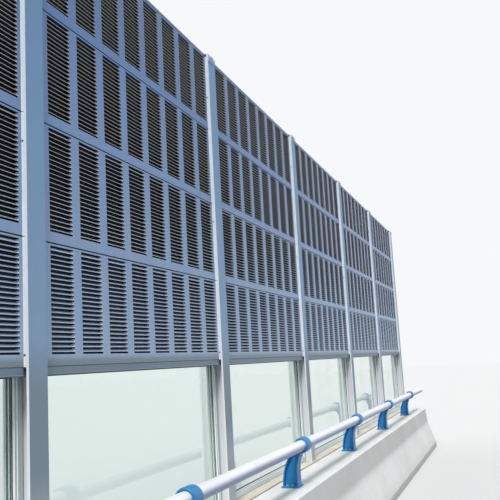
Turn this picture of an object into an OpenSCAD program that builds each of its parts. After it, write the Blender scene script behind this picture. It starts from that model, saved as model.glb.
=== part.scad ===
// Roadside noise barrier on a concrete parapet: six whole bays between steel H posts.
// Every bay has a clear glazed frame below and four louvred absorbing panels above it,
// and a round handrail on cast brackets runs along the road side.
// X runs along the wall, the road is on the -Y side, and Z = 0 is the parapet's underside.

/* [Bays] */
// Number of whole bays
bay_count = 6; // [1:1:6]
// Post centre to post centre
bay_l = 2000; // [1600:50:2600]
// Louvred panel rows stacked in a bay
row_count = 4; // [1:1:4]
// Height of one louvred panel row
row_h = 496; // [300:2:600]

/* [Posts] */
// Width of the H section along the wall
post_w = 120; // [100:5:160]
// Depth of the H section across the wall
post_d = 120; // [110:5:160]
// Flange thickness
flange_t = 11; // [8:1:14]
// Web thickness
web_t = 6; // [5:1:10]
// Base plate thickness
base_plate_t = 12; // [10:1:16]
// How far the base plate stands out beyond the H section in depth
base_plate_lip = 8; // [4:1:10]
// Radius of the fillets between web and flanges
post_fillet = 8; // [4:1:12]
// How far the cap's lips reach down over the flanges
cap_drop = 50; // [20:1:80]
// Sheet thickness of the cap
cap_wall = 3; // [2:0.5:5]
// Outer radius of the cap's folds
cap_fold = 5; // [4:0.5:8]

/* [Louvred panels] */
// Space between flange and panel, filled by the filler strips
filler_t = 12; // [8:1:15]
// Width of the filler strips along the wall
filler_w = 30; // [20:1:45]
// Clearance between the panel's end and the post web
panel_end_gap = 8; // [4:1:14]
// Sheet thickness of the cassette
sheet_t = 1.5; // [1:0.5:3]
// Open joint that shows between two rows
row_joint = 3; // [2:0.5:6]
// Width of the tongue on top of each panel
tongue_w = 40; // [20:1:50]
// Height of the tongue
tongue_h = 10; // [6:1:16]
// Plain margin left of the first louvre column
column_start = 115; // [50:1:130]
// Least plain margin right of the last louvre column
column_end = 60; // [50:1:150]
// Width of one louvre column
column_w = 170; // [80:1:176]
// Column to column
column_pitch = 232; // [186:1:300]
// Plain margin above a louvre column
column_top = 8; // [6:1:40]
// Plain margin below a louvre column
column_bottom = 43; // [20:1:70]
// Louvre to louvre
louvre_pitch = 19.5; // [16:0.5:40]
// Depth of a louvre blade across the panel
louvre_d = 12; // [8:1:20]
// Drop of a louvre blade from back to front
louvre_drop = 13; // [6:1:15]
// Thickness of a louvre blade
louvre_t = 1.5; // [1:0.5:2.5]
// Thickness of the absorbing slab inside the cassette
absorber_t = 50; // [20:1:55]

/* [Glazing] */
// Height of the clear frame between bedding and louvred panels
glazing_h = 890; // [534:2:1234]
// Face width of the frame's members
frame_w = 43; // [30:1:60]
// Setback of the frame behind the front of the post
frame_setback = 65; // [50:1:72]
// Gap between the frame and the post web
frame_end_gap = 8; // [4:1:14]
// Thickness of the clear pane
pane_t = 10; // [6:1:16]
// Depth of the groove that holds the pane
groove_d = 14; // [8:1:20]
// Height of the sill tube in front of the frame's head
sill_h = 34; // [20:1:80]
// Wall of the sill tube
sill_wall = 3; // [2:0.5:5]
// Height of the trim channel over the top panel, up to the post heads
trim_h = 16; // [14:1:30]

/* [Parapet] */
// Height of the parapet
parapet_h = 600; // [450:10:1100]
// Width of the parapet at its foot
parapet_w = 640; // [560:10:900]
// Height of the upright toe
toe_h = 75; // [30:5:100]
// Height at which the steep upper face starts
break_h = 378; // [200:1:420]
// How far the lower slope leans in from the toe
slope_run = 107; // [60:1:140]
// How far the upper face leans in
batter_run = 22; // [0:1:40]
// Radius of the soft turn between the two faces
break_r = 300; // [100:10:500]
// Chamfer along the top edges
parapet_chamfer = 12; // [5:1:25]
// Parapet top in front of the posts
front_ledge = 303; // [250:1:340]
// Length of the parapet beyond the end posts' centres
end_run = 100; // [80:5:300]
// Thickness of the bedding under the posts and frames
bedding_t = 20; // [16:1:40]
// How far the bedding stands out in front of the posts
bedding_lip = 12; // [12:1:30]
// Distance between the contraction joints
joint_pitch = 5000; // [3000:100:6000]
// Place of one contraction joint along the wall
joint_x = 1100; // [-1000:10:1500]
// Width of the contraction joints
joint_w = 8; // [4:1:15]
// Depth of the contraction joints
joint_d = 12; // [6:1:25]

/* [Handrail] */
// Outer diameter of the rail tube
rail_d = 76; // [60:1:90]
// Wall of the rail tube
rail_wall = 4; // [3:0.5:6]
// Rail centre above the parapet top
rail_rise = 287; // [240:1:360]
// Rail centre in front of the posts
rail_out = 242; // [220:1:260]
// Length of one rail tube
tube_l = 6000; // [4000:100:6000]
// Place of one rail joint along the wall
tube_joint_x = 3676; // [3400:10:3900]
// Gap between two rail tubes
tube_gap = 4; // [2:1:10]
// Length of the sleeve inside a rail joint
sleeve_l = 300; // [150:10:500]
// Wall of the sleeve
sleeve_wall = 4; // [3:0.5:6]

/* [Rail brackets] */
// Bracket centre beyond the post at the left of its bay
bracket_x = 800; // [300:10:1700]
// Width of the bracket along the wall
bracket_w = 100; // [70:1:120]
// Thickness of the bracket's two curved flanges
bracket_flange_t = 10; // [8:1:14]
// Thickness of the bracket's web
bracket_web_t = 14; // [10:1:20]
// Depth of the bracket just above its foot plate
bracket_d = 110; // [90:1:130]
// Radius of the back flange, which leans over to the collar
back_r = 420; // [380:5:480]
// Height at which the front flange starts to flare out
flare_h = 120; // [90:1:160]
// Radius of the front flange's flare
flare_r = 214; // [190:2:260]
// Thickness of the foot plate
foot_t = 12; // [8:1:16]
// How far the foot plate stands out round the bracket
foot_lip = 10; // [4:1:16]
// Foot plate's back edge in front of the posts
foot_setback = 83; // [60:1:100]
// Wall of the collar round the rail
collar_wall = 16; // [10:1:22]

/* [Hidden] */
PANELS = [for (b = [1:bay_count], r = [1:row_count]) str("panel_bay", b, "_row", r)];
POSTS = [for (p = [1:bay_count + 1]) str("post_", p)];
BRACKETS = [for (b = [1:bay_count]) str("rail_bracket_", b)];
OTHERS = ["parapet", "bedding", "glazing_frames", "clear_panes", "sills", "front_fillers",
          "rear_fillers", "absorber_slabs", "top_trims", "post_caps", "rail_tubes", "rail_sleeves"];

// Clearance between two pieces that are seated on each other
seat = 0.3;
round_fn = 64;
arc_fn = 180;

// Places along and across the wall
wall_l = bay_count * bay_l;
section_l = wall_l + 2 * end_run;
post_front = -parapet_w / 2 + slope_run + batter_run + front_ledge;
post_back = post_front + post_d;
panel_front = post_front + flange_t + filler_t;
panel_back = post_back - flange_t - filler_t;
panel_t = panel_back - panel_front;
frame_front = post_front + frame_setback;
frame_back = post_back - flange_t - seat;
pane_mid = (frame_front + frame_back) / 2;

// Levels
bedding_top = parapet_h + bedding_t;
panels_bottom = bedding_top + glazing_h;
sill_bottom = panels_bottom - sill_h;
wall_top = panels_bottom + row_count * row_h + trim_h;

// Lengths inside one bay
clear_l = bay_l - web_t;
panel_l = clear_l - 2 * panel_end_gap;
frame_l = clear_l - 2 * frame_end_gap;
panel_h = row_h - row_joint;
cap_d = post_d + 2 * (cap_wall + seat);

// Louvre columns, set out from the panel's left end
column_count = floor((panel_l - column_start - column_w - column_end) / column_pitch) + 1;
column_h = panel_h - column_top - column_bottom;
louvre_count = floor((column_h - louvre_drop) / louvre_pitch) + 1;

// Handrail
rail_z = parapet_h + rail_rise;
rail_y = post_front - rail_out;
collar_r = rail_d / 2 + collar_wall;
bracket_back = post_front - foot_setback - foot_lip;
bracket_front = bracket_back - bracket_d;

function post_x(p) = -wall_l / 2 + (p - 1) * bay_l;
function bay_x(b) = -wall_l / 2 + (b - 0.5) * bay_l;
function row_z(r) = panels_bottom + (r - 1) * row_h;

// Places that repeat along the wall at a pitch and lie well inside its ends
function repeats(first, pitch, inside) =
    [for (i = [-4:4]) if (abs(first + i * pitch) < inside) first + i * pitch];
parapet_joints = repeats(joint_x, joint_pitch, section_l / 2 - end_run);
tube_joints = repeats(tube_joint_x, tube_l, section_l / 2 - sleeve_l);

// Outline of the rolled H section, seen from above, with its four root fillets
module h_outline(grow = 0) {
    r = post_fillet - grow;
    root_x = web_t / 2 + post_fillet;
    root_y = flange_t + post_fillet;
    for (y = [0, post_d - flange_t])
        translate([-post_w / 2 - grow, y - grow])
            square([post_w + 2 * grow, flange_t + 2 * grow]);
    difference() {
        translate([-root_x, flange_t / 2])
            square([2 * root_x, post_d - flange_t]);
        for (side = [-1, 1])
            translate([side * root_x, 0]) {
                for (y = [root_y, post_d - root_y])
                    translate([0, y])
                        circle(r, $fn = round_fn);
                translate([-r, root_y])
                    square([2 * r, post_d - 2 * root_y]);
            }
    }
}

// Base plate under a post, in the pocket of the bedding
module base_plate(grow = 0) {
    translate([-post_w / 2 - grow, -base_plate_lip - grow, -grow])
        cube([post_w + 2 * grow, post_d + 2 * (base_plate_lip + grow), base_plate_t + 2 * grow]);
}

// One H post with its base plate welded on
module post(p) {
    color("#9db2c6")
        translate([post_x(p), post_front, parapet_h]) {
            base_plate();
            linear_extrude(wall_top - parapet_h)
                h_outline();
        }
}

// Side view of a cap: sheet folded down over the faces of both flanges
module cap_outline() {
    difference() {
        translate([-cap_d / 2, -cap_drop])
            square([cap_d, cap_drop + cap_wall]);
        translate([-post_d / 2 - seat, -2 * cap_drop])
            square([post_d + 2 * seat, 2 * cap_drop]);
        for (side = [-1, 1])
            translate([side * (cap_d / 2 - cap_fold), cap_wall - cap_fold])
                difference() {
                    translate([side * cap_fold, cap_fold])
                        square(2 * cap_fold, center = true);
                    circle(cap_fold, $fn = round_fn);
                }
    }
}

// Folded caps over the post heads
module post_caps() {
    color("#a9bccd")
        for (p = [1:bay_count + 1])
            translate([post_x(p) - post_w / 2, post_front + post_d / 2, wall_top])
                rotate([90, 0, 90])
                    linear_extrude(post_w)
                        cap_outline();
}

// Louvre blades in side view, sloping down towards the road
module louvre_blades() {
    for (i = [0:louvre_count - 1]) {
        z = panel_h - column_top - i * louvre_pitch;
        translate([sheet_t + seat, z - louvre_drop])
            polygon([[0, 0], [0, louvre_t], [louvre_d, louvre_drop], [louvre_d, louvre_drop - louvre_t]]);
    }
}

// One louvred cassette: folded shell, columns of louvres, tongue above and groove below
module louvre_panel(b, r) {
    tongue_y = (panel_t - tongue_w) / 2;
    groove_h = tongue_h - row_joint + seat;
    color("#8fa5c0")
        translate([bay_x(b), panel_front, row_z(r)]) {
            difference() {
                translate([-panel_l / 2, 0, 0])
                    cube([panel_l, panel_t, panel_h]);
                translate([-panel_l / 2 + sheet_t, sheet_t, groove_h + sheet_t])
                    cube([panel_l - 2 * sheet_t, panel_t - 2 * sheet_t, panel_h - groove_h - 2 * sheet_t]);
                translate([-panel_l / 2 - 1, tongue_y - seat, -1])
                    cube([panel_l + 2, tongue_w + 2 * seat, groove_h + 1]);
                for (c = [0:column_count - 1])
                    translate([-panel_l / 2 + column_start + c * column_pitch, -1, column_bottom])
                        cube([column_w, sheet_t + 2, column_h]);
            }
            translate([-panel_l / 2, tongue_y, panel_h - sheet_t / 2])
                cube([panel_l, tongue_w, tongue_h + sheet_t / 2]);
            translate([-panel_l / 2 + sheet_t / 2, 0, 0])
                rotate([90, 0, 90])
                    linear_extrude(panel_l - sheet_t)
                        louvre_blades();
        }
}

// Mineral wool slabs behind the louvres of every panel
module absorber_slabs() {
    groove_h = tongue_h - row_joint + seat;
    slab_l = panel_l - 2 * (sheet_t + seat);
    slab_h = panel_h - groove_h - 2 * (sheet_t + seat);
    color("#2b2a29")
        for (b = [1:bay_count], r = [1:row_count])
            translate([bay_x(b) - slab_l / 2, panel_back - sheet_t - seat - absorber_t,
                       row_z(r) + groove_h + sheet_t + seat])
                cube([slab_l, absorber_t, slab_h]);
}

// Filler strips between the posts' flanges and the panels, flush with the flange edges
// and open at the joints between the rows
module filler_strips(y) {
    for (p = [1:bay_count + 1], side = [-1, 1], r = [1:row_count])
        if ((p > 1 || side > 0) && (p <= bay_count || side < 0))
            translate([post_x(p) + (side > 0 ? post_w / 2 - filler_w : -post_w / 2), y + seat, row_z(r)])
                cube([filler_w, filler_t - 2 * seat, panel_h]);
}

module front_fillers() {
    color("#dfe6ea")
        filler_strips(post_front + flange_t);
}

module rear_fillers() {
    color("#3a3d40")
        filler_strips(panel_back);
}

// Trim channels over the tongues of the top panels
module top_trims() {
    color("#9db2c6")
        for (b = [1:bay_count])
            translate([bay_x(b) - panel_l / 2, panel_front, wall_top - trim_h - row_joint + seat])
                difference() {
                    cube([panel_l, panel_t, trim_h + row_joint - 2 * seat]);
                    translate([-1, (panel_t - tongue_w) / 2 - seat, -1])
                        cube([panel_l + 2, tongue_w + 2 * seat, tongue_h + 1]);
                }
}

// Tubular sills in front of the frames' heads, which carry the louvred panels with them,
// and a lip between the flanges
module sills() {
    lip_l = bay_l - post_w;
    tube_front = panel_front + sill_wall;
    tube_d = frame_front - seat - tube_front;
    color("#93a6bb")
        for (b = [1:bay_count])
            translate([bay_x(b), 0, sill_bottom]) {
                difference() {
                    translate([-clear_l / 2 + seat, tube_front, 0])
                        cube([clear_l - 2 * seat, tube_d, sill_h - seat]);
                    translate([-clear_l / 2 - 1, tube_front + sill_wall, sill_wall])
                        cube([clear_l + 2, tube_d - 2 * sill_wall, sill_h - seat - 2 * sill_wall]);
                }
                translate([-lip_l / 2, panel_front, 0])
                    cube([lip_l, sill_wall, sill_h - row_joint]);
            }
}

// Extruded frames round the clear panes, up to the louvred panels
module glazing_frames() {
    frame_d = frame_back - frame_front;
    color("#b4c2c4")
        for (b = [1:bay_count])
            translate([bay_x(b), frame_front, bedding_top])
                difference() {
                    translate([-frame_l / 2, 0, 0])
                        cube([frame_l, frame_d, glazing_h - seat]);
                    translate([-frame_l / 2 + frame_w, -1, frame_w])
                        cube([frame_l - 2 * frame_w, frame_d + 2, glazing_h - seat - 2 * frame_w]);
                    translate([-frame_l / 2 + frame_w - groove_d, pane_mid - frame_front - pane_t / 2 - seat,
                               frame_w - groove_d])
                        cube([frame_l - 2 * (frame_w - groove_d), pane_t + 2 * seat,
                              glazing_h - seat - 2 * (frame_w - groove_d)]);
                }
}

// Clear panes in the grooves of the frames
module clear_panes() {
    rim = frame_w - groove_d + seat;
    color("#9fc4b6", 0.4)
        for (b = [1:bay_count])
            translate([bay_x(b) - frame_l / 2 + rim, pane_mid - pane_t / 2, bedding_top + rim])
                cube([frame_l - 2 * rim, pane_t, glazing_h - seat - 2 * rim]);
}

// Grout bed under posts and frames, with a pocket for each post foot
module bedding() {
    bed_d = post_d + 2 * bedding_lip;
    color("#c9c4b4")
        difference() {
            translate([-section_l / 2, post_front - bedding_lip, parapet_h])
                cube([section_l, bed_d, bedding_t]);
            for (p = [1:bay_count + 1])
                translate([post_x(p), post_front, parapet_h]) {
                    translate([0, 0, -1])
                        linear_extrude(bedding_t + 2)
                            h_outline(seat);
                    base_plate(seat);
                }
        }
}

// Outline of the parapet across the wall, drawn smaller by an inset. The arc of the
// soft turn touches the lower slope and the upper face.
module parapet_outline(inset = 0) {
    front = -parapet_w / 2 + inset;
    back = parapet_w / 2 - inset;
    top = parapet_h - inset;
    c = parapet_chamfer;
    low_lean = atan(slope_run / (break_h - toe_h));
    high_lean = atan(batter_run / (parapet_h - c - break_h));
    reach = break_r * tan((low_lean - high_lean) / 2);
    arc_y = front + slope_run - reach * sin(low_lean) - break_r * cos(low_lean);
    arc_z = break_h - reach * cos(low_lean) + break_r * sin(low_lean);
    polygon([
        [front, 0],
        [front, toe_h],
        for (i = [0:6])
            let (lean = low_lean + (high_lean - low_lean) * i / 6)
                [arc_y + break_r * cos(lean), arc_z - break_r * sin(lean)],
        [front + slope_run + batter_run, top - c],
        [front + slope_run + batter_run + c, top],
        [back - c, top],
        [back, top - c],
        [back, 0]
    ]);
}

// Cast parapet with contraction joints round its faces
module parapet() {
    color("#c4c4c2")
        difference() {
            translate([-section_l / 2, 0, 0])
                rotate([90, 0, 90])
                    linear_extrude(section_l)
                        parapet_outline();
            for (x = parapet_joints)
                translate([x - joint_w / 2, 0, 0])
                    rotate([90, 0, 90])
                        linear_extrude(joint_w)
                            difference() {
                                square([2 * parapet_w, 3 * parapet_h], center = true);
                                parapet_outline(joint_d);
                            }
        }
}

// Rail tubes, open at their ends and butted over sleeves
module rail_tubes() {
    color("#eef0f3")
        difference() {
            translate([-section_l / 2, rail_y, rail_z])
                rotate([0, 90, 0])
                    difference() {
                        cylinder(d = rail_d, h = section_l, $fn = round_fn);
                        translate([0, 0, -1])
                            cylinder(d = rail_d - 2 * rail_wall, h = section_l + 2, $fn = round_fn);
                    }
            for (x = tube_joints)
                translate([x - tube_gap / 2, rail_y - rail_d, rail_z - rail_d])
                    cube([tube_gap, 2 * rail_d, 2 * rail_d]);
        }
}

// Sleeves inside the rail joints
module rail_sleeves() {
    sleeve_d = rail_d - 2 * rail_wall - 2 * seat;
    color("#b8bcc0")
        for (x = tube_joints)
            translate([x - sleeve_l / 2, rail_y, rail_z])
                rotate([0, 90, 0])
                    difference() {
                        cylinder(d = sleeve_d, h = sleeve_l, $fn = round_fn);
                        translate([0, 0, -1])
                            cylinder(d = sleeve_d - 2 * sleeve_wall, h = sleeve_l + 2, $fn = round_fn);
                    }
}

// Side view of the bracket body: the back edge leans over in one arc, and the front edge
// stands upright and then flares out, so that both run into the collar
module bracket_outline(inset = 0) {
    low = parapet_h + foot_t;
    difference() {
        intersection() {
            translate([bracket_back - back_r, low])
                circle(back_r - inset, $fn = arc_fn);
            translate([rail_y - collar_r, low - inset])
                square([2 * back_r, rail_z - low + inset]);
        }
        translate([bracket_front - flare_r, parapet_h + flare_h])
            circle(flare_r + inset, $fn = arc_fn);
        translate([bracket_front - 2 * flare_r + inset, parapet_h - inset])
            square([2 * flare_r, flare_h + inset]);
    }
}

// One cast bracket: foot plate, web, two curved flanges and a collar round the rail
module rail_bracket(b) {
    foot_l = bracket_w + 2 * foot_lip;
    color("#1f6fb5")
        translate([post_x(b) + bracket_x, 0, 0])
            difference() {
                union() {
                    translate([-foot_l / 2, bracket_front - foot_lip, parapet_h])
                        cube([foot_l, bracket_d + 2 * foot_lip, foot_t]);
                    translate([-bracket_w / 2, rail_y, rail_z])
                        rotate([0, 90, 0])
                            cylinder(r = collar_r, h = bracket_w, $fn = round_fn);
                    translate([-bracket_web_t / 2, 0, 0])
                        rotate([90, 0, 90])
                            linear_extrude(bracket_web_t)
                                bracket_outline();
                    translate([-bracket_w / 2, 0, 0])
                        rotate([90, 0, 90])
                            linear_extrude(bracket_w)
                                difference() {
                                    bracket_outline();
                                    bracket_outline(bracket_flange_t);
                                }
                }
                translate([-foot_l, rail_y, rail_z])
                    rotate([0, 90, 0])
                        cylinder(d = rail_d + 2 * seat, h = 2 * foot_l, $fn = round_fn);
            }
}

parapet();
bedding();
for (p = [1:bay_count + 1])
    post(p);
for (b = [1:bay_count], r = [1:row_count])
    louvre_panel(b, r);
for (b = [1:bay_count])
    rail_bracket(b);
post_caps();
glazing_frames();
clear_panes();
sills();
front_fillers();
rear_fillers();
absorber_slabs();
top_trims();
rail_tubes();
rail_sleeves();
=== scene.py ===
"""Roadside noise barrier: a concrete parapet with steel posts, louvred panels above clear
glazing, and a round handrail on cast brackets. Sizes are in metres."""

import math

import bmesh
import bpy
from mathutils import Matrix, Vector


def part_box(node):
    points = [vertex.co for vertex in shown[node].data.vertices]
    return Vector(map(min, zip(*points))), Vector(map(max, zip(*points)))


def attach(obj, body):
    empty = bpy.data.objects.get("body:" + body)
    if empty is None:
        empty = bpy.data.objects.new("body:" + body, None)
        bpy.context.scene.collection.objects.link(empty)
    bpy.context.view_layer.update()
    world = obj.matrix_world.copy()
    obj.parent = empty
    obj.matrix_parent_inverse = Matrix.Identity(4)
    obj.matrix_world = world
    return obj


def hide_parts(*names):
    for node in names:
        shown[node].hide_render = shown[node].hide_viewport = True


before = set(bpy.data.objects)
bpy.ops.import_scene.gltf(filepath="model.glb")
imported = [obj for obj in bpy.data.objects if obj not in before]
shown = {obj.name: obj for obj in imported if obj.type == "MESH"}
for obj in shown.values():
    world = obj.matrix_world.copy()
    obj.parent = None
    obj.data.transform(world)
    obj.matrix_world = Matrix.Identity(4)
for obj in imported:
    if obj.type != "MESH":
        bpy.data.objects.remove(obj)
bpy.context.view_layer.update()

# Camera: it stands on the road beside the wall's left end, and looks along the wall and
# slightly up.
eye = (-6.458, -1.581, 1.482)
heading = math.radians(18.53)
pitch = math.radians(8.50)
roll = math.radians(-3.18)
turn = Matrix.Rotation(heading - math.pi / 2, 3, "Z")
turn = turn @ Matrix.Rotation(math.pi / 2 + pitch, 3, "X")
turn = turn @ Matrix.Rotation(roll, 3, "Z")
bpy.ops.object.camera_add(location=eye, rotation=turn.to_euler())
camera = bpy.context.object
camera.data.sensor_width = 36
camera.data.lens = 54.06
bpy.context.scene.camera = camera
bpy.context.scene.view_settings.view_transform = "Standard"


# Stage: a level floor under a studio sky. Both look pale where they are seen, straight on,
# in gloss or through the panes, and they throw less light on the wall than they show.
def add_node(tree, kind, **settings):
    """A shader node with its properties, or the values of its inputs, set by name."""
    made = tree.nodes.new("ShaderNode" + kind)
    for name, value in settings.items():
        if hasattr(made, name):
            setattr(made, name, value)
        else:
            made.inputs[name.replace("_", " ")].default_value = value
    return made


def join_up(tree, source, target, entry, outlet=0):
    """Links an output of one shader node to an input of another."""
    tree.links.new(source.outputs[outlet], target.inputs[entry])


def seen_rays(tree):
    """A node that gives one on rays that see a surface, and none on those that only carry
    its light on to others."""
    rays = add_node(tree, "LightPath")
    seen = add_node(tree, "Math", operation="MAXIMUM")
    seen_through = add_node(tree, "Math", operation="MAXIMUM")
    join_up(tree, rays, seen, 0, "Is Camera Ray")
    join_up(tree, rays, seen, 1, "Is Glossy Ray")
    join_up(tree, seen, seen_through, 0)
    join_up(tree, rays, seen_through, 1, "Is Transmission Ray")
    return seen_through


def start_finish(name, **settings):
    """A new finish, its node tree and its shader, with the shader's inputs set by name."""
    finish = bpy.data.materials.new(name)
    finish.use_nodes = True
    shader = finish.node_tree.nodes["Principled BSDF"]
    for entry, value in settings.items():
        shader.inputs[entry.replace("_", " ")].default_value = value
    return finish, finish.node_tree, shader


sky = bpy.data.worlds.new("studio_sky")
bpy.context.scene.world = sky
sky.use_nodes = True
tree = sky.node_tree
tree.nodes.clear()
glow = add_node(tree, "Background", Color=(0.90, 0.95, 1.0, 1), Strength=0.93)
backdrop = add_node(tree, "Background", Color=(0.93, 0.94, 0.95, 1), Strength=1.0)
choice = add_node(tree, "MixShader")
sky_out = add_node(tree, "OutputWorld")
join_up(tree, seen_rays(tree), choice, 0)
join_up(tree, glow, choice, 1)
join_up(tree, backdrop, choice, 2)
join_up(tree, choice, sky_out, "Surface")

floor_size = 160
floor_grey, floor_pale = (0.19, 0.19, 0.19), (0.58, 0.58, 0.575)
bpy.ops.object.select_all(action="DESELECT")
bpy.ops.mesh.primitive_plane_add(size=floor_size)
floor = bpy.context.object
floor.name = "floor"
floor_paint, tree, shader = start_finish("floor_paint", Roughness=0.9)
paleness = add_node(tree, "MixRGB", Color1=(*floor_grey, 1), Color2=(*floor_pale, 1))
join_up(tree, seen_rays(tree), paleness, "Fac")
join_up(tree, paleness, shader, "Base Color")
floor.data.materials.append(floor_paint)

# One broad lamp stands high beyond the wall's left end, a little towards the road.
to_lamp = Vector((-0.62, -0.16, 0.77))
bpy.ops.object.light_add(type="SUN", rotation=to_lamp.to_track_quat("Z", "Y").to_euler())
lamp = bpy.context.object
lamp.data.energy = 2.8
lamp.data.angle = math.radians(12)
lamp.data.color = (1.0, 0.975, 0.94)


# Parapet: one mass of concrete, cast in a steel form with a soft turn in its road face,
# and parted by contraction joints that were cut in afterwards.
def block(low, high):
    """A box between two corners, left alone in edit mode."""
    low, high = Vector(low), Vector(high)
    bpy.ops.object.select_all(action="DESELECT")
    bpy.ops.mesh.primitive_cube_add(size=1, location=(low + high) / 2)
    piece = bpy.context.object
    piece.scale = high - low
    bpy.ops.object.transform_apply(location=True, rotation=True, scale=True)
    bpy.ops.object.mode_set(mode="EDIT")
    return piece


near = 0.001


def on(value, line):
    """Whether a coordinate lies on a line, or near enough to it."""
    return abs(value - line) < near


def pick(kind, test):
    """Selects, in edit mode, the faces whose middle and normal pass a test, the edges
    whose two ends pass it, or the vertices that pass it."""
    bpy.ops.mesh.select_mode(type=kind)
    bpy.ops.mesh.select_all(action="DESELECT")
    mesh = bmesh.from_edit_mesh(bpy.context.object.data)
    if kind == "FACE":
        chosen = [f for f in mesh.faces if test(f.calc_center_median(), f.normal)]
    elif kind == "EDGE":
        chosen = [e for e in mesh.edges if all(test(v.co) for v in e.verts)]
    else:
        chosen = [v for v in mesh.verts if test(v.co)]
    for part in chosen:
        part.select_set(True)
    mesh.select_flush_mode()
    bmesh.update_edit_mesh(bpy.context.object.data)


def cut(axis, place):
    """Cuts every face that the plane across an axis meets at a place."""
    across = Vector([float(letter == axis) for letter in "XYZ"])
    bpy.ops.mesh.select_all(action="SELECT")
    bpy.ops.mesh.bisect(plane_co=across * place, plane_no=across)


def extrude(rise=0.0):
    """Extrudes what is selected, straight up by a rise."""
    bpy.ops.mesh.extrude_region_move(TRANSFORM_OT_translate={"value": (0, 0, rise)})


def make_active(piece):
    """Leaves edit mode, and selects one piece alone."""
    if bpy.context.mode != "OBJECT":
        bpy.ops.object.mode_set(mode="OBJECT")
    bpy.ops.object.select_all(action="DESELECT")
    piece.select_set(True)
    bpy.context.view_layer.objects.active = piece


def shape_up(piece, kind, **settings):
    """Puts a modifier on a piece and applies it."""
    make_active(piece)
    added = piece.modifiers.new(kind.lower(), kind)
    for name, value in settings.items():
        setattr(added, name, value)
    bpy.ops.object.modifier_apply(modifier=added.name)


def round_edges(piece, width, segments=2):
    """Rounds the sharp edges of a piece."""
    shape_up(piece, "BEVEL", width=width, segments=segments, limit_method="ANGLE",
             angle_limit=math.radians(50))


def smooth(piece, degrees):
    """Shades a piece smooth across edges flatter than an angle, with broad faces kept flat."""
    make_active(piece)
    bpy.ops.object.shade_smooth_by_angle(angle=math.radians(degrees))
    shape_up(piece, "WEIGHTED_NORMAL", keep_sharp=True)


def lay_over(finish, by, axis, start, full, share, colour):
    """Lays a colour over a finish by place or by facing along an axis: none at the start
    value, and its full share from the full value on."""
    tree = finish.node_tree
    entry = tree.nodes["Principled BSDF"].inputs["Base Color"]
    source = add_node(tree, "TexCoord" if by == "place" else "NewGeometry")
    parts = add_node(tree, "SeparateXYZ")
    amount = add_node(tree, "MapRange", From_Min=start, From_Max=full, To_Max=share)
    laid = add_node(tree, "MixRGB", Color2=(*colour, 1))
    tree.links.new(entry.links[0].from_socket, laid.inputs["Color1"])
    join_up(tree, source, parts, 0, "Object" if by == "place" else "Normal")
    join_up(tree, parts, amount, "Value", axis)
    join_up(tree, amount, laid, "Fac")
    tree.links.new(laid.outputs[0], entry)


def add_to_wall(piece, finish, slot, *nodes):
    """Gives a new piece its finish, unless it has its finishes already, and its place in
    the model, and hides the nodes that it stands for."""
    if finish:
        piece.data.materials.clear()
        piece.data.materials.append(finish)
    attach(piece, "root")
    if nodes:
        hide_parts(*nodes)


low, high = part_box("parapet")
toe_z = 0.075
turn_z = 0.378
slope_run = 0.107
batter_run = 0.022
toe_round, turn_round, top_round = 0.010, 0.036, 0.012
parapet = block(low, high)
parapet.name = "cast_parapet"
cut("Z", toe_z)
cut("Z", turn_z)
pick("VERT", lambda place: on(place.y, low.y) and place.z > toe_z + near)
bpy.ops.transform.translate(value=(0, slope_run, 0))
pick("VERT", lambda place: place.y < 0 and on(place.z, high.z))
bpy.ops.transform.translate(value=(0, batter_run, 0))
pick("EDGE", lambda place: place.y < 0 and on(place.z, turn_z))
bpy.ops.mesh.bevel(offset=turn_round, segments=6, affect="EDGES")
pick("EDGE", lambda place: place.y < 0 and on(place.z, toe_z))
bpy.ops.mesh.bevel(offset=toe_round, segments=3, affect="EDGES")
pick("EDGE", lambda place: on(place.z, high.z))
bpy.ops.mesh.bevel(offset=top_round, segments=3, affect="EDGES")

joints_x = (-3.9, 1.1)
joint_w, joint_d = 0.005, 0.010
for joint_x in joints_x:
    for side in (-1, 1):
        cut("X", joint_x + side * joint_w / 2)
    pick("FACE", lambda place, normal: abs(place.x - joint_x) < joint_w / 2)
    extrude()
    bpy.ops.transform.shrink_fatten(value=-joint_d)
round_edges(parapet, width=0.0025)
smooth(parapet, 30)

# The concrete is clouded and stained by runs, with air pits, and road splash on its toe.
concrete, tree, shader = start_finish("cast_concrete", Roughness=0.88)
place = add_node(tree, "TexCoord")
clouds = add_node(tree, "TexNoise", Scale=1.7, Detail=7.0, Roughness=0.62)
grain = add_node(tree, "TexNoise", Scale=120.0, Detail=4.0)
pits = add_node(tree, "TexVoronoi", Scale=34.0, Randomness=1.0)
runs = add_node(tree, "Mapping", Scale=(13.0, 13.0, 0.8))
streaks = add_node(tree, "TexNoise", Scale=1.0, Detail=5.0, Roughness=0.6)
height = add_node(tree, "SeparateXYZ")
tone = add_node(tree, "ValToRGB")
tones = ((0.30, (0.62, 0.62, 0.61, 1)), (0.68, (0.73, 0.73, 0.72, 1)))
for stop, (position, colour) in zip(tone.color_ramp.elements, tones):
    stop.position = position
    stop.color = colour
run_share = add_node(tree, "MapRange", From_Min=0.54, From_Max=0.74, To_Max=0.24)
toe_share = add_node(tree, "MapRange", From_Max=0.17, To_Min=0.75, To_Max=0.0)
toe_break = add_node(tree, "Math", operation="MULTIPLY")
pit_share = add_node(tree, "MapRange", From_Min=0.05, From_Max=0.10, To_Min=0.65, To_Max=0.0)
pit_few = add_node(tree, "MapRange", From_Min=0.52, From_Max=0.60)
pit_break = add_node(tree, "Math", operation="MULTIPLY")
stained = add_node(tree, "MixRGB", Color2=(0.45, 0.445, 0.43, 1))
splashed = add_node(tree, "MixRGB", Color2=(0.33, 0.31, 0.28, 1))
pitted = add_node(tree, "MixRGB", Color2=(0.27, 0.27, 0.26, 1))
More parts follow.
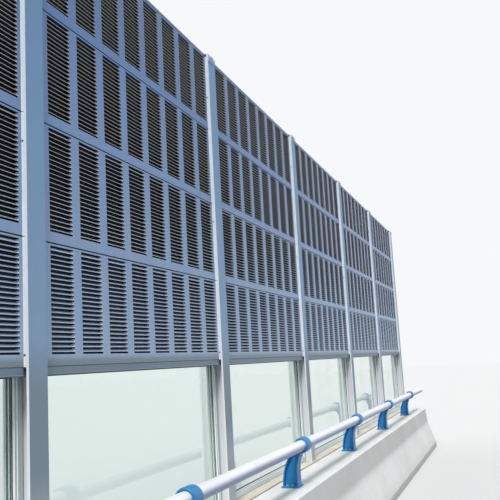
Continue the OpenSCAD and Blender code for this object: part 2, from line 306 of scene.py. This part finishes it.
relief = add_node(tree, "Bump", Strength=0.35, Distance=0.0012)
dents = add_node(tree, "Bump", Strength=0.6, Distance=0.002, invert=True)
for texture in (clouds, grain, pits, runs, height):
    join_up(tree, place, texture, 0, "Object")
join_up(tree, runs, streaks, "Vector")
join_up(tree, clouds, tone, "Fac")
join_up(tree, streaks, run_share, "Value")
join_up(tree, height, toe_share, "Value", "Z")
join_up(tree, toe_share, toe_break, 0)
join_up(tree, clouds, toe_break, 1)
join_up(tree, pits, pit_share, "Value", "Distance")
join_up(tree, clouds, pit_few, "Value")
join_up(tree, pit_share, pit_break, 0)
join_up(tree, pit_few, pit_break, 1)
join_up(tree, run_share, stained, "Fac")
join_up(tree, tone, stained, "Color1")
join_up(tree, toe_break, splashed, "Fac")
join_up(tree, stained, splashed, "Color1")
join_up(tree, pit_break, pitted, "Fac")
join_up(tree, splashed, pitted, "Color1")
join_up(tree, pitted, shader, "Base Color")
join_up(tree, grain, relief, "Height")
join_up(tree, pit_break, dents, "Height")
join_up(tree, relief, dents, "Normal")
join_up(tree, dents, shader, "Normal")

# Painted shade: steep faces are painted greyer than the slope, for the weaker light on them.
lay_over(concrete, "facing", "Z", start=0.25, full=0.12, share=0.4, colour=(0.40, 0.40, 0.39))
add_to_wall(parapet, concrete, "concrete", "parapet")


# Bedding: cement mortar that was packed under the posts and frames and struck off with
# a trowel, so its front edge wanders a little. Its foot is dark with damp and dirt.
def speckled(name, colour, fleck, grain_size, depth, roughness, **settings):
    """A plain finish with flecks of a second colour and a fine grain in relief."""
    made, tree, shader = start_finish(name, Roughness=roughness, **settings)
    place = add_node(tree, "TexCoord")
    patches = add_node(tree, "TexNoise", Scale=6.0, Detail=6.0, Roughness=0.65)
    grain = add_node(tree, "TexNoise", Scale=1 / grain_size, Detail=3.0)
    share = add_node(tree, "MapRange", From_Min=0.35, From_Max=0.70)
    blend = add_node(tree, "MixRGB", Color1=(*colour, 1), Color2=(*fleck, 1))
    relief = add_node(tree, "Bump", Strength=0.5, Distance=depth)
    join_up(tree, place, patches, 0, "Object")
    join_up(tree, place, grain, 0, "Object")
    join_up(tree, patches, share, "Value")
    join_up(tree, share, blend, "Fac")
    join_up(tree, blend, shader, "Base Color")
    join_up(tree, grain, relief, "Height")
    join_up(tree, relief, shader, "Normal")
    return made


low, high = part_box("bedding")
side_gap, top_gap = 0.002, 0.001
stretches = 180
wander = 0.003
edge_round = 0.004
bedding = block(low + Vector((side_gap, side_gap, 0)), high - Vector((side_gap, side_gap, top_gap)))
bedding.name = "mortar_bed"
for step in range(1, stretches):
    cut("X", low.x + (high.x - low.x) * step / stretches)
pick("VERT", lambda place: on(place.z, high.z - top_gap) and on(place.y, low.y + side_gap))
bpy.ops.transform.translate(value=(0, wander, -wander))
bpy.ops.transform.vertex_random(offset=wander, uniform=0.0, normal=0.0, seed=4)

# The edges to round have wandered from the straight ones, but not far.
for edge_y in (low.y, high.y):
    pick("EDGE", lambda place: place.z > high.z - 4 * wander
         and abs(place.y - edge_y) < 5 * wander)
    bpy.ops.mesh.bevel(offset=edge_round, segments=2, affect="EDGES")
smooth(bedding, 50)
mortar = speckled("packed_mortar", (0.64, 0.60, 0.51), (0.50, 0.46, 0.38),
                  grain_size=0.006, depth=0.002, roughness=0.93)
lay_over(mortar, "place", "Z", start=low.z + 0.007, full=low.z + 0.004, share=0.9,
         colour=(0.12, 0.07, 0.045))
add_to_wall(bedding, mortar, "mortar", "bedding")


# Posts: rolled steel H sections, galvanised and spray painted a light blue grey. Road film
# has settled on them, most of it low down. The sides that the lamp meets are painted paler
# as painted light, and the posts are painted darker below the sills as painted shade.
def painted(name, colour, film, film_share, roughness, streaky, film_from=0.6, film_to=3.2,
            **settings):
    """Sprayed paint on metal: slow changes of tone, faint runs from the top, road film that
    fades with height, and a fine orange peel."""
    made, tree, shader = start_finish(name, Specular_IOR_Level=0.45, **settings)
    place = add_node(tree, "TexCoord")
    slow = add_node(tree, "TexNoise", Scale=1.1, Detail=5.0, Roughness=0.55)
    peel = add_node(tree, "TexNoise", Scale=420.0, Detail=2.0)
    drawn = add_node(tree, "Mapping", Scale=(22.0, 22.0, 0.7))
    streaks = add_node(tree, "TexNoise", Scale=1.0, Detail=5.0, Roughness=0.6)
    height = add_node(tree, "SeparateXYZ")
    low_down = add_node(tree, "MapRange", From_Min=film_from, From_Max=film_to, To_Min=1.0,
                        To_Max=0.05)
    patchy = add_node(tree, "MapRange", From_Min=0.30, From_Max=0.72, To_Min=1 - 0.55 * streaky)
    share = add_node(tree, "Math", operation="MULTIPLY")
    amount = add_node(tree, "Math", operation="MULTIPLY")
    amount.inputs[1].default_value = film_share
    run_share = add_node(tree, "MapRange", From_Min=0.52, From_Max=0.75, To_Max=0.16 * streaky)
    tone = add_node(tree, "MapRange", From_Min=0.3, From_Max=0.7)
    lighter = tuple(min(1.0, 1.10 * c + 0.012) for c in colour)
    darker = tuple(0.93 * c for c in colour)
    run_colour = tuple(0.62 * c for c in film)
    base = add_node(tree, "MixRGB", Color1=(*darker, 1), Color2=(*lighter, 1))
    filmed = add_node(tree, "MixRGB", Color2=(*film, 1))
    run_over = add_node(tree, "MixRGB", Color2=(*run_colour, 1))
    dull = add_node(tree, "MapRange", To_Min=roughness, To_Max=min(0.95, roughness + 0.3))
    relief = add_node(tree, "Bump", Strength=0.12, Distance=0.0004)
    for texture in (slow, peel, drawn, height):
        join_up(tree, place, texture, 0, "Object")
    join_up(tree, drawn, streaks, "Vector")
    join_up(tree, height, low_down, "Value", "Z")
    join_up(tree, streaks, patchy, "Value")
    join_up(tree, low_down, share, 0)
    join_up(tree, patchy, share, 1)
    join_up(tree, share, amount, 0)
    join_up(tree, streaks, run_share, "Value")
    join_up(tree, slow, tone, "Value")
    join_up(tree, tone, base, "Fac")
    join_up(tree, amount, filmed, "Fac")
    join_up(tree, base, filmed, "Color1")
    join_up(tree, run_share, run_over, "Fac")
    join_up(tree, filmed, run_over, "Color1")
    join_up(tree, run_over, shader, "Base Color")
    join_up(tree, amount, dull, "Value")
    join_up(tree, dull, shader, "Roughness")
    join_up(tree, peel, relief, "Height")
    join_up(tree, relief, shader, "Normal")
    return made


def dress(node, finish):
    """Gives a CAD node its finish."""
    for spot in shown[node].material_slots:
        spot.material = finish


def paint_lit_sides(finish, share, colour):
    """Paints the sides of a finish that face the wall's left end paler: painted light where the
    lamp falls.
    """
    lay_over(finish, "facing", "X", start=-0.4, full=-0.8, share=share, colour=colour)


bay_count = 6
post_nodes = [f"post_{number}" for number in range(1, bay_count + 2)]
pale_dust = (0.36, 0.44, 0.54)
lit_side_pale = (0.72, 0.74, 0.77)
post_paint = painted("post_paint", (0.11, 0.26, 0.48), pale_dust, film_share=0.5,
                     roughness=0.42, streaky=0.25, film_from=1.4, film_to=3.0)
# Painted shade: the posts are painted darker below the sills.
lay_over(post_paint, "place", "Z", start=1.62, full=1.42, share=0.85,
         colour=(0.175, 0.225, 0.265))
lay_over(post_paint, "place", "Z", start=1.12, full=0.92, share=0.8,
         colour=(0.40, 0.44, 0.44))
# Painted light: the sides that face the lamp are painted paler.
paint_lit_sides(post_paint, 0.9, lit_side_pale)
for node in post_nodes:
    dress(node, post_paint)


# Post caps: sheet steel folded over each post head, held by a bright galvanised dome-headed
# bolt through each end of its front and back lips.
def button_head(radius):
    """A dome-headed fastener with a thin rim, standing at the origin and facing the road."""
    rim_t = 0.002
    rim_spread = 1.3
    bpy.ops.object.select_all(action="DESELECT")
    bpy.ops.mesh.primitive_uv_sphere_add(segments=20, ring_count=12, radius=radius)
    head = bpy.context.object
    bpy.ops.object.mode_set(mode="EDIT")
    bpy.ops.mesh.select_all(action="SELECT")
    bpy.ops.mesh.bisect(plane_co=(0, 0, rim_t), plane_no=(0, 0, 1), clear_inner=True,
                        use_fill=True)
    pick("FACE", lambda place, normal: normal.z < -0.9)
    bpy.ops.transform.resize(value=(rim_spread, rim_spread, 1))
    extrude(-rim_t)
    bpy.ops.object.mode_set(mode="OBJECT")
    head.rotation_euler.x = math.pi / 2
    bpy.ops.object.transform_apply(location=True, rotation=True, scale=True)
    smooth(head, 40)
    return head


def copy_of(piece, move):
    """A copy of a piece with its own mesh, moved there."""
    made = piece.copy()
    made.data = piece.data.copy()
    made.data.transform(move)
    bpy.context.collection.objects.link(made)
    return made


def join_pieces(first, *others):
    """Joins other pieces into the first one."""
    make_active(first)
    for piece in others:
        piece.select_set(True)
    bpy.ops.object.join()
    return first


def set_out(piece, places, name):
    """Copies a piece to every place, each one a point and a turn about the vertical in
    degrees, and joins the copies into one mesh."""
    copies = []
    for point, degrees in places:
        turned = Matrix.Rotation(math.radians(degrees), 4, "Z")
        copies.append(copy_of(piece, Matrix.Translation(point) @ turned))
    bpy.data.objects.remove(piece)
    joined = join_pieces(*copies)
    joined.name = name
    return joined


cap_paint = painted("cap_paint", (0.15, 0.29, 0.52), pale_dust, film_share=0.4,
                    roughness=0.40, streaky=0.25)
# Painted light: the caps' sides that face the lamp are painted paler.
paint_lit_sides(cap_paint, 0.9, lit_side_pale)
dress("post_caps", cap_paint)

low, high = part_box("post_caps")
post_x = [sum(corner.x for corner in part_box(node)) / 2 for node in post_nodes]
bolt_z = high.z - 0.0185
bolt_side = 0.039
bolt_r = 0.0102
bolt_places = []
for face_y, degrees in ((low.y, 0), (high.y, 180)):
    for x in post_x:
        for side in (-1, 1):
            bolt_places.append(((x + side * bolt_side, face_y, bolt_z), degrees))
galvanised = speckled("galvanised", (0.62, 0.63, 0.64), (0.47, 0.48, 0.49),
                      grain_size=0.004, depth=0.0002, roughness=0.36, Metallic=0.8)
cap_bolts = set_out(button_head(bolt_r), bolt_places, "cap_bolts")
add_to_wall(cap_bolts, galvanised, "sleeve_steel")


# Sills: steel tubes that carry the louvred panels, with a lip between the flanges. The
# lip's lower edge is hemmed, and the hem catches the light.
road_film = (0.20, 0.215, 0.225)
sill_paint = painted("sill_paint", (0.13, 0.20, 0.285), road_film, film_share=0.4,
                     roughness=0.45, streaky=0.6)
dress("sills", sill_paint)

low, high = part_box("sills")
flange_side = 0.060
end_play = 0.001
hem_out, hem_lap, hem_h = 0.0035, 0.0005, 0.006
hem_round = 0.0022
hem = block((post_x[0] + flange_side + end_play, low.y - hem_out, low.z),
            (post_x[1] - flange_side - end_play, low.y + hem_lap, low.z + hem_h))
pick("EDGE", lambda place: on(place.y, low.y - hem_out))
bpy.ops.mesh.bevel(offset=hem_round, segments=3, affect="EDGES")
smooth(hem, 40)
bay_l = post_x[1] - post_x[0]
bay_places = [((bay * bay_l, 0, 0), 0) for bay in range(bay_count)]
hems = set_out(hem, bay_places, "sill_hems")
add_to_wall(hems, sill_paint, "sill_paint")


# Filler strips: white plastic strips wedge each panel against the front flanges, held by
# small dark screws through their edges. Black rubber strips do so at the back.
strip_white = speckled("strip_white", (0.74, 0.77, 0.79), (0.60, 0.63, 0.64),
                       grain_size=0.004, depth=0.0004, roughness=0.5)
strip_rubber = speckled("strip_rubber", (0.045, 0.047, 0.050), (0.07, 0.07, 0.07),
                        grain_size=0.003, depth=0.0005, roughness=0.8)
dress("front_fillers", strip_white)
dress("rear_fillers", strip_rubber)

low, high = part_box("front_fillers")
strip_mid = (low.y + high.y) / 2
screw_r = 0.0036
first_screw = low.z + 0.045
screw_step = 0.827
screw_levels = 3
screw_places = []
for level in range(screw_levels):
    screw_z = first_screw + level * screw_step
    for x in post_x[1:]:
        screw_places.append(((x - flange_side, strip_mid, screw_z), -90))
    for x in post_x[:-1]:
        screw_places.append(((x + flange_side, strip_mid, screw_z), 90))
screws = set_out(button_head(screw_r), screw_places, "strip_screws")
add_to_wall(screws, strip_rubber, "filler_rubber")


# Absorbing slabs: dark mineral wool boards that stand inside the panels, behind the
# louvres. The lowest ones are painted bluer and lighter than the rest, which stay darker as
# painted shade.
wool = speckled("wool_board", (0.007, 0.008, 0.009), (0.012, 0.013, 0.014),
                grain_size=0.003, depth=0.003, roughness=0.97)
# Painted shade: the wool above the lowest row is left darker than the lowest slabs.
lay_over(wool, "place", "Z", start=2.1, full=1.8, share=0.9, colour=(0.024, 0.050, 0.105))
dress("absorber_slabs", wool)


# Louvred panels: each cassette is folded from sheet, with a tongue on top that enters the
# next one's groove. Its front is slit, and the slats between the slits are pressed in at
# their upper edges. Dust and painted light lie on the slats, and the lowest margin is greyer.
panel_blue = (0.065, 0.172, 0.42)
wall_dust = (0.425, 0.535, 0.66)
# Fine dust pales the paint where it is seen at a flat angle.
dusty = {"Sheen_Weight": 0.2, "Sheen_Roughness": 0.3, "Sheen_Tint": (0.90, 0.95, 1.0, 1)}
panel_paint = painted("panel_paint", panel_blue, wall_dust, film_share=0.8, roughness=0.42,
                      streaky=0.5, film_from=1.45, film_to=3.0, **dusty)

low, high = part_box("panel_bay1_row1")
middle_y = (low.y + high.y) / 2
sheet_t = 0.0015
fold_round = 0.002
tongue_h, tongue_w, groove_h = 0.010, 0.040, 0.0073
columns, first_column, column_step, column_w = 8, 0.115, 0.232, 0.170
window_low, window_high = low.z + 0.0467, low.z + 0.4845
first_x = low.x + first_column + column_w / 2
column_x = [first_x + number * column_step for number in range(columns)]
cassette = block(low, (high.x, high.y, high.z - tongue_h))
pick("EDGE", lambda place: on(place.y, low.y))
bpy.ops.mesh.bevel(offset=fold_round, segments=2, affect="EDGES")
for x in column_x:
    for side in (-1, 1):
        cut("X", x + side * column_w / 2)
for z in (window_low, window_high):
    cut("Z", z)
for side in (-1, 1):
    cut("Y", middle_y + side * tongue_w / 2)
pick("FACE", lambda place, normal: normal.y < -0.9 and window_low < place.z < window_high
     and min(abs(place.x - x) for x in column_x) < column_w / 2)
bpy.ops.mesh.delete(type="FACE")
pick("FACE", lambda place, normal: normal.z > 0.9 and abs(place.y - middle_y) < tongue_w / 2)
extrude(tongue_h)
pick("FACE", lambda place, normal: normal.z < -0.9 and abs(place.y - middle_y) < tongue_w / 2)
extrude(groove_h)
shape_up(cassette, "SOLIDIFY", thickness=sheet_t, offset=-1)
smooth(cassette, 35)

# Painted shade: a dark line is painted along the narrow joint above each row, where the gap lies in
# shade.
row_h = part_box("panel_bay1_row2")[0].z - low.z
joint_z = low.z + 0.4955
tree = panel_paint.node_tree
entry = tree.nodes["Principled BSDF"].inputs["Base Color"]
place = add_node(tree, "TexCoord")
from_joint = add_node(tree, "Mapping", Location=(0, 0, -joint_z))
parts = add_node(tree, "SeparateXYZ")
nearness = add_node(tree, "Math", operation="PINGPONG")
nearness.inputs[1].default_value = row_h / 2
joint_shade_share = add_node(tree, "MapRange", From_Min=0.0028, From_Max=0.0036, To_Min=0.95, To_Max=0.0)
joint_shade = add_node(tree, "MixRGB", Color2=(0.012, 0.012, 0.014, 1))
tree.links.new(entry.links[0].from_socket, joint_shade.inputs["Color1"])
join_up(tree, place, from_joint, "Vector", "Object")
join_up(tree, from_joint, parts, 0)
join_up(tree, parts, nearness, 0, "Z")
join_up(tree, nearness, joint_shade_share, "Value")
join_up(tree, joint_shade_share, joint_shade, "Fac")
tree.links.new(joint_shade.outputs[0], entry)

# The lowest margin is painted greyer, and the top row a deeper blue.
lay_over(panel_paint, "place", "Z", start=1.552, full=1.528, share=0.8,
         colour=(0.165, 0.20, 0.235))
lay_over(panel_paint, "place", "Z", start=2.95, full=3.25, share=0.5,
         colour=(0.05, 0.115, 0.26))

# A slat's upper edge is pressed in by shares that grow with the distance from its ends.
slats = 22
slat_t = 0.0012
slit_h = 0.0088
lip_h = 0.0025
press_d = 0.0172
presses = ((0.0, 0.30), (0.005, 0.80), (0.014, 1.0))
top_press, top_reach = 0.75, 0.003
slat_step = (window_high - window_low - slit_h) / slats
bpy.ops.object.select_all(action="DESELECT")
bpy.ops.mesh.primitive_plane_add(size=1, rotation=(math.pi / 2, 0, 0),
                                 location=(first_x, low.y, window_high - slat_step / 2))
slat = bpy.context.object
slat.scale = (column_w, slat_step, 1)
bpy.ops.object.transform_apply(location=True, rotation=True, scale=True)
bpy.ops.object.mode_set(mode="EDIT")
cut("Z", window_high - slat_step + lip_h)
for inset, share in presses[1:]:
    for side in (-1, 1):
        cut("X", first_x + side * (column_w / 2 - inset))
for inset, share in presses:
    pick("VERT", lambda place: on(place.z, window_high)
         and on(abs(place.x - first_x), column_w / 2 - inset))
    bpy.ops.transform.translate(value=(0, press_d * share, -slit_h * share))
shape_up(slat, "SOLIDIFY", thickness=slat_t, offset=-1)
shape_up(slat, "ARRAY", count=slats, use_relative_offset=False, use_constant_offset=True,
         constant_offset_displace=(0, 0, -slat_step))

# The topmost slat of a window is pressed less than the others.
bpy.ops.object.mode_set(mode="EDIT")
pick("VERT", lambda place: place.z > window_high - slit_h - top_reach)
bpy.ops.transform.resize(value=(1, top_press, top_press),
                         center_override=(first_x, low.y, window_high))
shape_up(slat, "ARRAY", count=columns, use_relative_offset=False, use_constant_offset=True,
         constant_offset_displace=(column_step, 0, 0))
smooth(slat, 30)

# The slats have the panels' paint. Their tops and faces are paler, partly dust and partly
# painted light; the upper rows are browner, partly dust and partly painted bounce light; and
# their undersides are painted dark, as painted shade.
slat_paint = painted("slat_paint", panel_blue, wall_dust, film_share=0.8, roughness=0.45,
                     streaky=0.5, film_from=1.45, film_to=3.0, **dusty)
lay_over(slat_paint, "facing", "Z", start=0.15, full=0.6, share=0.6, colour=(0.42, 0.49, 0.58))
lay_over(slat_paint, "facing", "Y", start=-0.8, full=-0.95, share=0.5,
         colour=(0.50, 0.53, 0.56))
lay_over(slat_paint, "place", "Z", start=1.95, full=2.6, share=0.75, colour=(0.345, 0.33, 0.30))
# Painted shade: the undersides are painted dark.
lay_over(slat_paint, "facing", "Z", start=-0.3, full=-0.7, share=0.9,
         colour=(0.20, 0.19, 0.175))
slat.data.materials.append(slat_paint)
cassette.data.materials.append(panel_paint)
join_pieces(cassette, slat)

row_count = 4
for bay in range(1, bay_count + 1):
    for row in range(1, row_count + 1):
        node = f"panel_bay{bay}_row{row}"
        panel = copy_of(cassette, Matrix.Translation(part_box(node)[0] - low))
        panel.name = f"louvred_cassette_bay{bay}_row{row}"
        add_to_wall(panel, None, "panel_paint", node)
bpy.data.objects.remove(cassette)


# Top trims: channels folded from sheet in the panels' paint. They close the tongues of the
# top panels, between the post heads.
dress("top_trims", panel_paint)


# Glazing frames: extruded aluminium, mitred at the corners, with a bead clipped in round
# each pane and a black gasket on either side of it. Their heads hide behind the sills.
def ring(low, high, face_w, step=0.0, bead_w=0.0):
    """A frame round an opening through Y: a face, and inside it a bead set back by a step."""
    step_w = 0.0015
    piece = block(low, high)
    pick("FACE", lambda place, normal: abs(normal.y) > 0.9)
    bpy.ops.mesh.inset(thickness=face_w - bead_w, use_even_offset=True)
    if bead_w:
        bpy.ops.mesh.inset(thickness=step_w, depth=-step, use_even_offset=True)
        bpy.ops.mesh.inset(thickness=bead_w - step_w, use_even_offset=True)
    bpy.ops.mesh.bridge_edge_loops()
    return piece


frame_metal = painted("frame_metal", (0.60, 0.67, 0.68), (0.50, 0.53, 0.52), film_share=0.3,
                      roughness=0.36, streaky=0.5)
# Painted light: the frames' sides that face the lamp are painted paler.
paint_lit_sides(frame_metal, 0.9, (0.80, 0.84, 0.85))
low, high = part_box("glazing_frames")
frame_face, head_face = 0.043, 0.034
bead_w, bead_step = 0.013, 0.004
frame_end = post_x[1] - (low.x - post_x[0])
opening = ring(low, (frame_end, high.y, high.z), frame_face, bead_step, bead_w)
pick("VERT", lambda place: high.z - frame_face - near < place.z < high.z - near)
bpy.ops.transform.translate(value=(0, 0, frame_face - head_face))
round_edges(opening, width=0.0009)
smooth(opening, 35)
frames = set_out(opening, bay_places, "extruded_frames")
add_to_wall(frames, frame_metal, "frame_metal", "glazing_frames")

pane_low, pane_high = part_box("clear_panes")
gasket_face, gasket_t, gasket_lap = 0.004, 0.003, 0.002
gasket_side = frame_face - gasket_lap
gasket_faces = {"front": (pane_low.y - gasket_t, pane_low.y),
                "rear": (pane_high.y, pane_high.y + gasket_t)}
for side, (front_y, rear_y) in gasket_faces.items():
    gasket = ring((low.x + gasket_side, front_y, low.z + gasket_side),
                  (frame_end - gasket_side, rear_y, high.z - head_face + gasket_lap),
                  gasket_face + gasket_lap)
    smooth(gasket, 35)
    gaskets = set_out(gasket, bay_places, f"{side}_gaskets")
    add_to_wall(gaskets, strip_rubber, "filler_rubber")


# Clear panes: thick cast acrylic with a faint green cast, held in the frames' grooves. Dust
# dulls it in faint upright streaks, and lamps shine through it.
clear, tree, shader = start_finish("clear_sheet", Base_Color=(0.80, 0.90, 0.86, 1),
                                   Transmission_Weight=1.0, IOR=1.49)
through = add_node(tree, "BsdfTransparent", Color=(0.86, 0.93, 0.90, 1))
rays = add_node(tree, "LightPath")
pass_light = add_node(tree, "MixShader")
place = add_node(tree, "TexCoord")
drawn = add_node(tree, "Mapping", Scale=(3.0, 3.0, 0.5))
dust = add_node(tree, "TexNoise", Scale=1.0, Detail=5.0)
dull = add_node(tree, "MapRange", From_Min=0.35, From_Max=0.75, To_Min=0.012, To_Max=0.09)
join_up(tree, place, drawn, 0, "Object")
join_up(tree, drawn, dust, "Vector")
join_up(tree, dust, dull, "Value")
join_up(tree, dull, shader, "Roughness")
join_up(tree, rays, pass_light, "Fac", "Is Shadow Ray")
join_up(tree, shader, pass_light, 1)
join_up(tree, through, pass_light, 2)
join_up(tree, pass_light, tree.nodes["Material Output"], "Surface")
dress("clear_panes", clear)


# Rail: white painted steel tubes, pushed over galvanised sleeves and butted there with a
# narrow gap. The white is painted dull and bluish on the tubes' sides and undersides, as
# painted shade.
def rod(radius, start, end, ends="NGON"):
    """A cylinder about the rail's middle line, from one place along the wall to another."""
    bpy.ops.object.select_all(action="DESELECT")
    bpy.ops.mesh.primitive_cylinder_add(vertices=96, radius=radius, depth=end - start,
                                        end_fill_type=ends, rotation=(0, math.pi / 2, 0),
                                        location=((start + end) / 2, rail_y, rail_z))
    bpy.ops.object.transform_apply(location=True, rotation=True, scale=True)
    return bpy.context.object


rail_paint = painted("rail_paint", (0.74, 0.75, 0.78), (0.60, 0.60, 0.60), film_share=0.08,
                     roughness=0.30, streaky=0.0)
# Painted shade: the sides and undersides are painted a dull blue.
lay_over(rail_paint, "facing", "Z", start=0.45, full=-0.2, share=0.92, colour=(0.13, 0.19, 0.42))
low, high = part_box("rail_tubes")
rail_y, rail_z = (low.y + high.y) / 2, (low.z + high.z) / 2
rail_r = (high.y - low.y) / 2
rail_wall = 0.004
gap_w = 0.004
rail_joints = (-2.324, 3.676)
rail = rod(rail_r, low.x, high.x, ends="NOTHING")
rail.name = "rail_lengths"
bpy.ops.object.mode_set(mode="EDIT")
for x in rail_joints:
    for side in (-1, 1):
        cut("X", x + side * gap_w / 2)
pick("FACE", lambda place, normal: min(abs(place.x - x) for x in rail_joints) < gap_w / 2)
bpy.ops.mesh.delete(type="FACE")
shape_up(rail, "SOLIDIFY", thickness=rail_wall, offset=-1)
round_edges(rail, width=0.0009)
smooth(rail, 35)
add_to_wall(rail, rail_paint, "rail_paint", "rail_tubes")
dress("rail_sleeves", galvanised)


# Rail brackets: cast with a web between two curved flanges, on a foot plate, and with a
# collar that the rail passes through. They are painted a strong blue.
def flange_lines(z):
    """Where the faces of the front and back flanges stand at a height, front to back."""
    back_lean = math.asin((z - foot_top) / back_r)
    front_lean = math.asin(max(0.0, z - flare_z) / flare_r)
    back = back_foot - back_r * (1 - math.cos(back_lean))
    front = front_foot - flare_r * (1 - math.cos(front_lean))
    front_inside = front + flange_t / math.cos(front_lean)
    back_inside = back - flange_t / math.cos(back_lean)
    return front, front_inside, back_inside, back


low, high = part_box("rail_bracket_1")
mid_x = (low.x + high.x) / 2
foot_t, foot_lip = 0.012, 0.010
foot_top = low.z + foot_t
flanges_apart = 0.110
back_foot = high.y - foot_lip
front_foot = back_foot - flanges_apart
flange_t, half_w, half_web = 0.010, 0.050, 0.007
back_r = 0.420
flare_r, flare_z = 0.214, low.z + 0.120
collar_r, collar_round = high.z - rail_z, 0.009
body_low = low.z + 0.002

body = block((mid_x - half_w, front_foot, body_low), (mid_x + half_w, back_foot, foot_top))
front_inside, back_inside = flange_lines(foot_top)[1:3]
for side in (-1, 1):
    cut("X", mid_x + side * half_web)
for y in (front_inside, back_inside):
    cut("Y", y)
pick("FACE", lambda place, normal: normal.z > 0.9
     and (abs(place.x - mid_x) < half_web or not front_inside < place.y < back_inside))
lifts = 12
level, rise = foot_top, (rail_z - foot_top) / lifts
for _ in range(lifts):
    extrude(rise)
    lines, next_lines = flange_lines(level), flange_lines(level + rise)
    level += rise
    for old, new in zip(lines, next_lines):
        pick("VERT", lambda place: on(place.z, level) and on(place.y, old))
        bpy.ops.transform.translate(value=(0, new - old, 0))
    pick("FACE", lambda place, normal: normal.z > 0.5 and on(place.z, level))
bpy.ops.object.mode_set(mode="OBJECT")
foot = block((low.x, front_foot - foot_lip, low.z), (high.x, high.y, foot_top))
bpy.ops.object.mode_set(mode="OBJECT")
collar = rod(collar_r, mid_x - half_w, mid_x + half_w)
round_edges(collar, collar_round, segments=5)

# The three forms are blended as in a casting, and then the collar is bored and its two
# mouths are opened out.
casting = join_pieces(collar, foot, body)
shape_up(casting, "REMESH", mode="VOXEL", voxel_size=0.0024, use_smooth_shade=True)
shape_up(casting, "SMOOTH", factor=0.5, iterations=9)
shape_up(casting, "DECIMATE", ratio=0.16)
bore_r, mouth_r = rail_r + 0.0004, rail_r + 0.005
mouth_x, clear_x = 0.046, 0.060
bores = ((bore_r, -clear_x, clear_x), (mouth_r, -clear_x, -mouth_x), (mouth_r, mouth_x, clear_x))
for radius, start, end in bores:
    cutter = rod(radius, mid_x + start, mid_x + end)
    shape_up(casting, "BOOLEAN", operation="DIFFERENCE", object=cutter, solver="EXACT")
    bpy.data.objects.remove(cutter)
smooth(casting, 38)

bracket_paint = painted("bracket_paint", (0.004, 0.175, 0.44), (0.03, 0.19, 0.38),
                        film_share=0.12, roughness=0.40, streaky=0.3)
for number in range(1, bay_count + 1):
    node = f"rail_bracket_{number}"
    bracket = copy_of(casting, Matrix.Translation(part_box(node)[0] - low))
    bracket.name = f"cast_bracket_{number}"
    add_to_wall(bracket, bracket_paint, "bracket_paint", node)
bpy.data.objects.remove(casting)


# Anchor bolts: galvanised hexagon heads on washers, two on either side of each bracket's
# web. They hold the foot plates down on the concrete.
washer_r, washer_t, head_r, head_h = 0.0115, 0.002, 0.0092, 0.0065
anchor_side = 0.027
anchor_y = (back_foot - 0.027, back_foot - 0.069)
anchor_turn = 15
bpy.ops.object.select_all(action="DESELECT")
bpy.ops.mesh.primitive_cylinder_add(vertices=32, radius=washer_r, depth=washer_t,
                                    location=(0, 0, foot_top + washer_t / 2))
washer = bpy.context.object
bpy.ops.object.transform_apply(location=True, rotation=True, scale=True)
bpy.ops.mesh.primitive_cylinder_add(vertices=6, radius=head_r, depth=head_h,
                                    location=(0, 0, foot_top + washer_t + head_h / 2))
hexagon = bpy.context.object
bpy.ops.object.transform_apply(location=True, rotation=True, scale=True)
anchor = join_pieces(hexagon, washer)
round_edges(anchor, width=0.0008)
smooth(anchor, 35)
anchor_places = []
for bay in range(bay_count):
    for side in (-1, 1):
        x = mid_x + bay * bay_l + side * anchor_side
        anchor_places += [((x, y, 0), anchor_turn) for y in anchor_y]
anchors = set_out(anchor, anchor_places, "bracket_anchors")
add_to_wall(anchors, galvanised, "sleeve_steel")
